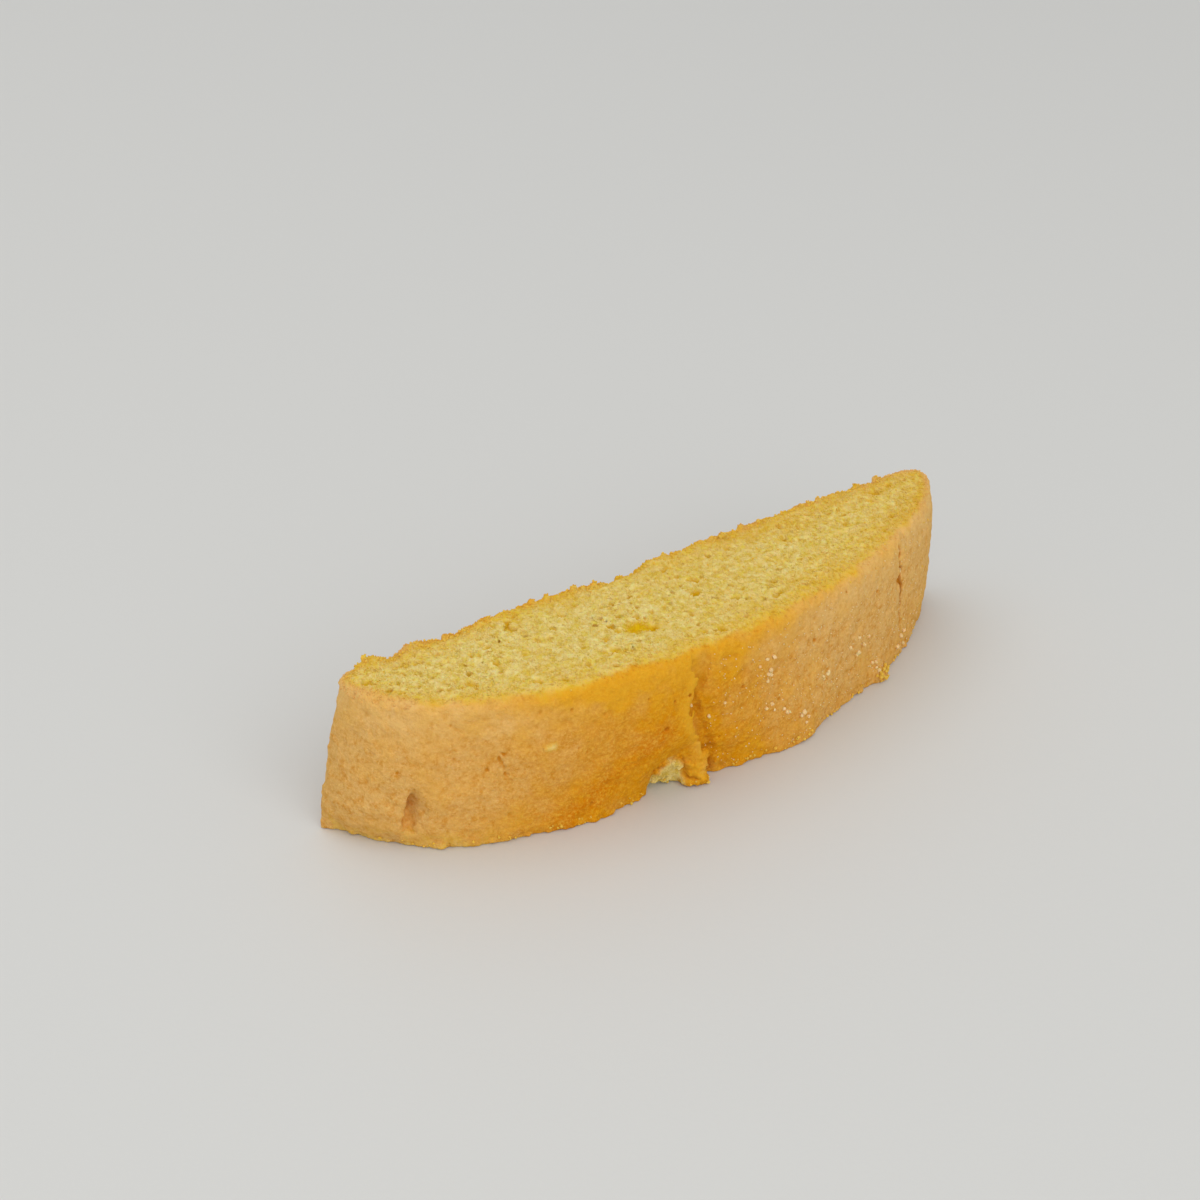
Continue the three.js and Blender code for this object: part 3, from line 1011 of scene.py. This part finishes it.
def round_shape():
    """The corners and triangles of a granule with twenty sides, of radius 1."""
    shape = bmesh.new()
    bmesh.ops.create_icosphere(shape, subdivisions=1, radius=1.0)
    points = np.array([corner.co for corner in shape.verts])
    triangles = np.array([[corner.index for corner in face.verts] for face in shape.faces])
    shape.free()
    return points, triangles


def eight_sided_shape():
    """The corners and triangles of a granule with eight sides, of radius 1."""
    points = np.vstack([np.eye(3), -np.eye(3)])
    triangles = []
    for x, y, z in np.ndindex(2, 2, 2):
        corners = [3 * x, 1 + 3 * y, 2 + 3 * z]
        triangles.append(corners[::-1] if (x + y + z) % 2 else corners)
    return points, np.array(triangles)


def random_turns(count):
    """Rotation matrices that turn any way, from random unit quaternions."""
    turns = rng.normal(size=(count, 4))
    w, x, y, z = (turns / np.linalg.norm(turns, axis=1, keepdims=True)).T
    rows = [
        [1 - 2 * (y * y + z * z), 2 * (x * y - w * z), 2 * (x * z + w * y)],
        [2 * (x * y + w * z), 1 - 2 * (x * x + z * z), 2 * (y * z - w * x)],
        [2 * (x * z - w * y), 2 * (y * z + w * x), 1 - 2 * (x * x + y * y)],
    ]
    return np.array(rows).transpose(2, 0, 1)


class Scatter:
    """Granules laid on the slice, as their centres and sizes."""

    def __init__(self, stand_out):
        self.stand_out = stand_out
        self.centres = []
        self.sizes = []

    def add(self, found, size):
        """One granule where a ray met the slice, or none where it missed."""
        if found is not None:
            place, normal = found
            self.centres.append(place + self.stand_out * size * normal)
            self.sizes.append(size)

    def strew(self, ray, area, other):
        """Granules over an area, between its spans along X and along another axis."""
        for _ in range(area["count"]):
            found = ray(rng.uniform(*area["x"]), rng.uniform(*area[other]))
            self.add(found, rng.uniform(*area["size"]))


def granules(name, shape, scatter, roundness, unevenness):
    """One mesh of many small granules, blocky where roundness is low."""
    points, triangles = shape
    centres = np.array(scatter.centres)
    sizes = np.array(scatter.sizes)[:, None, None]
    points = np.sign(points) * np.abs(points) ** roundness
    shapes = points * rng.uniform(1 - unevenness, 1 + unevenness, (len(centres), *points.shape))
    shapes = shapes * rng.uniform(0.7, 1.15, (len(centres), 1, 3)) * sizes
    placed = np.einsum("nij,npj->npi", random_turns(len(centres)), shapes) + centres[:, None]
    firsts = len(points) * np.arange(len(centres))[:, None, None]
    return new_object(name, placed.reshape(-1, 3), (triangles + firsts).reshape(-1, 3), smooth=False)


class Surface:
    """Finds places on the finished slice."""

    def __init__(self, piece, wall):
        self.tree = BVHTree.FromObject(piece, bpy.context.evaluated_depsgraph_get())
        self.wall = wall

    def wall_at(self, place):
        """Distance to the side wall there, negative inside."""
        i, j, k = [grid_index(axis, position) for axis, position in enumerate(place)]
        return self.wall[i, j, k]

    def hit(self, start, direction):
        place, normal, _, _ = self.tree.ray_cast(Vector(start) * MM, Vector(direction))
        return None if place is None else (np.array(place) / MM, np.array(normal))

    def dome(self, x, z):
        return self.hit((x, low_corner[1] - 20, z), (0, 1, 0))

    def top(self, x, y):
        return self.hit((x, y, high_corner[2] + 20), (0, 0, -1))


def make_sugar(surface):
    """Sugar grains in clusters right of the split, and a fine dusting."""
    scatter = Scatter(STAND_OUT["sugar"])
    for x, z, spread, count in SUGAR_CLUSTERS:
        for _ in range(count):
            shift_x, shift_z = rng.normal(0, 0.5 * spread, 2)
            found = surface.dome(x + shift_x, max(z + shift_z, LOWEST_SUGAR))
            scatter.add(found, rng.uniform(*SUGAR_SIZE))
    scatter.strew(surface.dome, DUST, "z")
    return granules("sugar_grains", round_shape(), scatter, roundness=0.6, unevenness=0.12)


def make_crumb_grains(surface):
    """The fine grain of the bare crumb, as small granules half sunk in it."""
    scatter = Scatter(STAND_OUT["grain"])
    margin = GRAINS["margin"]
    for _ in range(GRAINS["top"]):
        x = rng.uniform(low_corner[0] + margin, high_corner[0] - margin)
        y = rng.uniform(low_corner[1] + margin, high_corner[1] - GRAINS["flat_margin"])
        size = rng.uniform(*GRAINS["size"])
        found = surface.top(x, y)
        if found is None or found[0][2] < high_corner[2] - GRAINS["deepest"]:
            continue
        span = GRAINS["from_flat_side"] if y > 0 else GRAINS["from_dome"]
        if smooth_step(*span, -surface.wall_at(found[0])) > rng.random():
            scatter.add(found, size)
    for _ in range(GRAINS["torn"]):
        size = rng.uniform(*GRAINS["size"])
        found = surface.dome(rng.uniform(*TORN_LUMPS["x"]), rng.uniform(*TORN_LUMPS["z"]))
        scatter.add(found, size)
    return granules("crumb_grains", eight_sided_shape(), scatter, roundness=1.0, unevenness=0.2)


def make_crumbs(surface):
    """Crumbs along the far rim, over the cut face, along the base and near the tip."""
    scatter = Scatter(STAND_OUT["crumb"])
    for x in along_far_rim(RIM_CRUMBS["spacing"]):
        y = high_corner[1] - rng.uniform(*RIM_CRUMBS["inset"])
        scatter.add(surface.top(x, y), rng.uniform(*RIM_CRUMBS["size"]))
    scatter.strew(surface.top, FACE_CRUMBS, "y")
    scatter.strew(surface.dome, BASE_CRUMBS, "z")
    for _ in range(STUCK_CRUMBS["count"]):
        x = rng.normal(STUCK_CRUMBS["x"], STUCK_CRUMBS["spread"])
        found = surface.dome(x, rng.uniform(*STUCK_CRUMBS["z"]))
        scatter.add(found, rng.uniform(*STUCK_CRUMBS["size"]))
    return granules("loose_crumbs", round_shape(), scatter, roundness=0.9, unevenness=0.3)


def finish_piece(piece, material, *replaced):
    piece.data.materials.clear()
    piece.data.materials.append(material)
    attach(piece, "root")
    if replaced:
        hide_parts(*replaced)


def make_floor():
    half = FLOOR_HALF
    corners = [(-half, -half, 0), (half, -half, 0), (half, half, 0), (-half, half, 0)]
    floor = new_object("floor", corners, [(0, 1, 2, 3)], smooth=False)
    floor.data.materials.append(floor_material())


def make_light():
    """Even daylight from all round, with lamps above, in front, beyond and at the left."""
    world = bpy.data.worlds.new("soft_daylight")
    world.use_nodes = True
    background = world.node_tree.nodes["Background"]
    background.inputs["Color"].default_value = (1.0, 1.0, 1.0, 1)
    background.inputs["Strength"].default_value = DAYLIGHT
    bpy.context.scene.world = world
    for name, (place, size, energy) in LAMPS.items():
        lamp = bpy.data.lights.new(name, "AREA")
        lamp.shape = "DISK"
        lamp.size = size
        lamp.energy = energy
        holder = bpy.data.objects.new(name, lamp)
        holder.location = place
        holder.rotation_euler = (-holder.location).to_track_quat("-Z", "Y").to_euler()
        bpy.context.scene.collection.objects.link(holder)


def make_camera():
    camera = bpy.data.cameras.new("camera")
    camera.lens = LENS
    holder = bpy.data.objects.new("camera", camera)
    holder.location = Vector(CAMERA_PLACE) * MM
    view = Vector(CAMERA_AIM) * MM - holder.location
    holder.rotation_euler = view.to_track_quat("-Z", "Y").to_euler()
    bpy.context.scene.collection.objects.link(holder)
    bpy.context.scene.camera = holder
    bpy.context.scene.view_settings.view_transform = "Standard"


dough, fields = model_slice()
# The blurred field tells hollows, where shade is painted into the crust
fields["blurred"] = box_blur(np.clip(dough.field, -BAND, BAND), HOLLOW_SHADE_REACH)
biscuit = mesh_of(dough, "biscuit_slice")
thin_out(biscuit, MOST_TRIANGLES)
colour_attributes(biscuit, fields)
finish_piece(biscuit, biscuit_material("biscuit_crumb_and_crust", soft=True), NODE)

surface = Surface(biscuit, fields["wall"])
grains = make_crumb_grains(surface)
colour_attributes(grains, fields)
finish_piece(grains, biscuit_material("crumb_grain", soft=False))
finish_piece(make_sugar(surface), sugar_material())
finish_piece(make_crumbs(surface), crumb_material())

make_floor()
make_light()
make_camera()
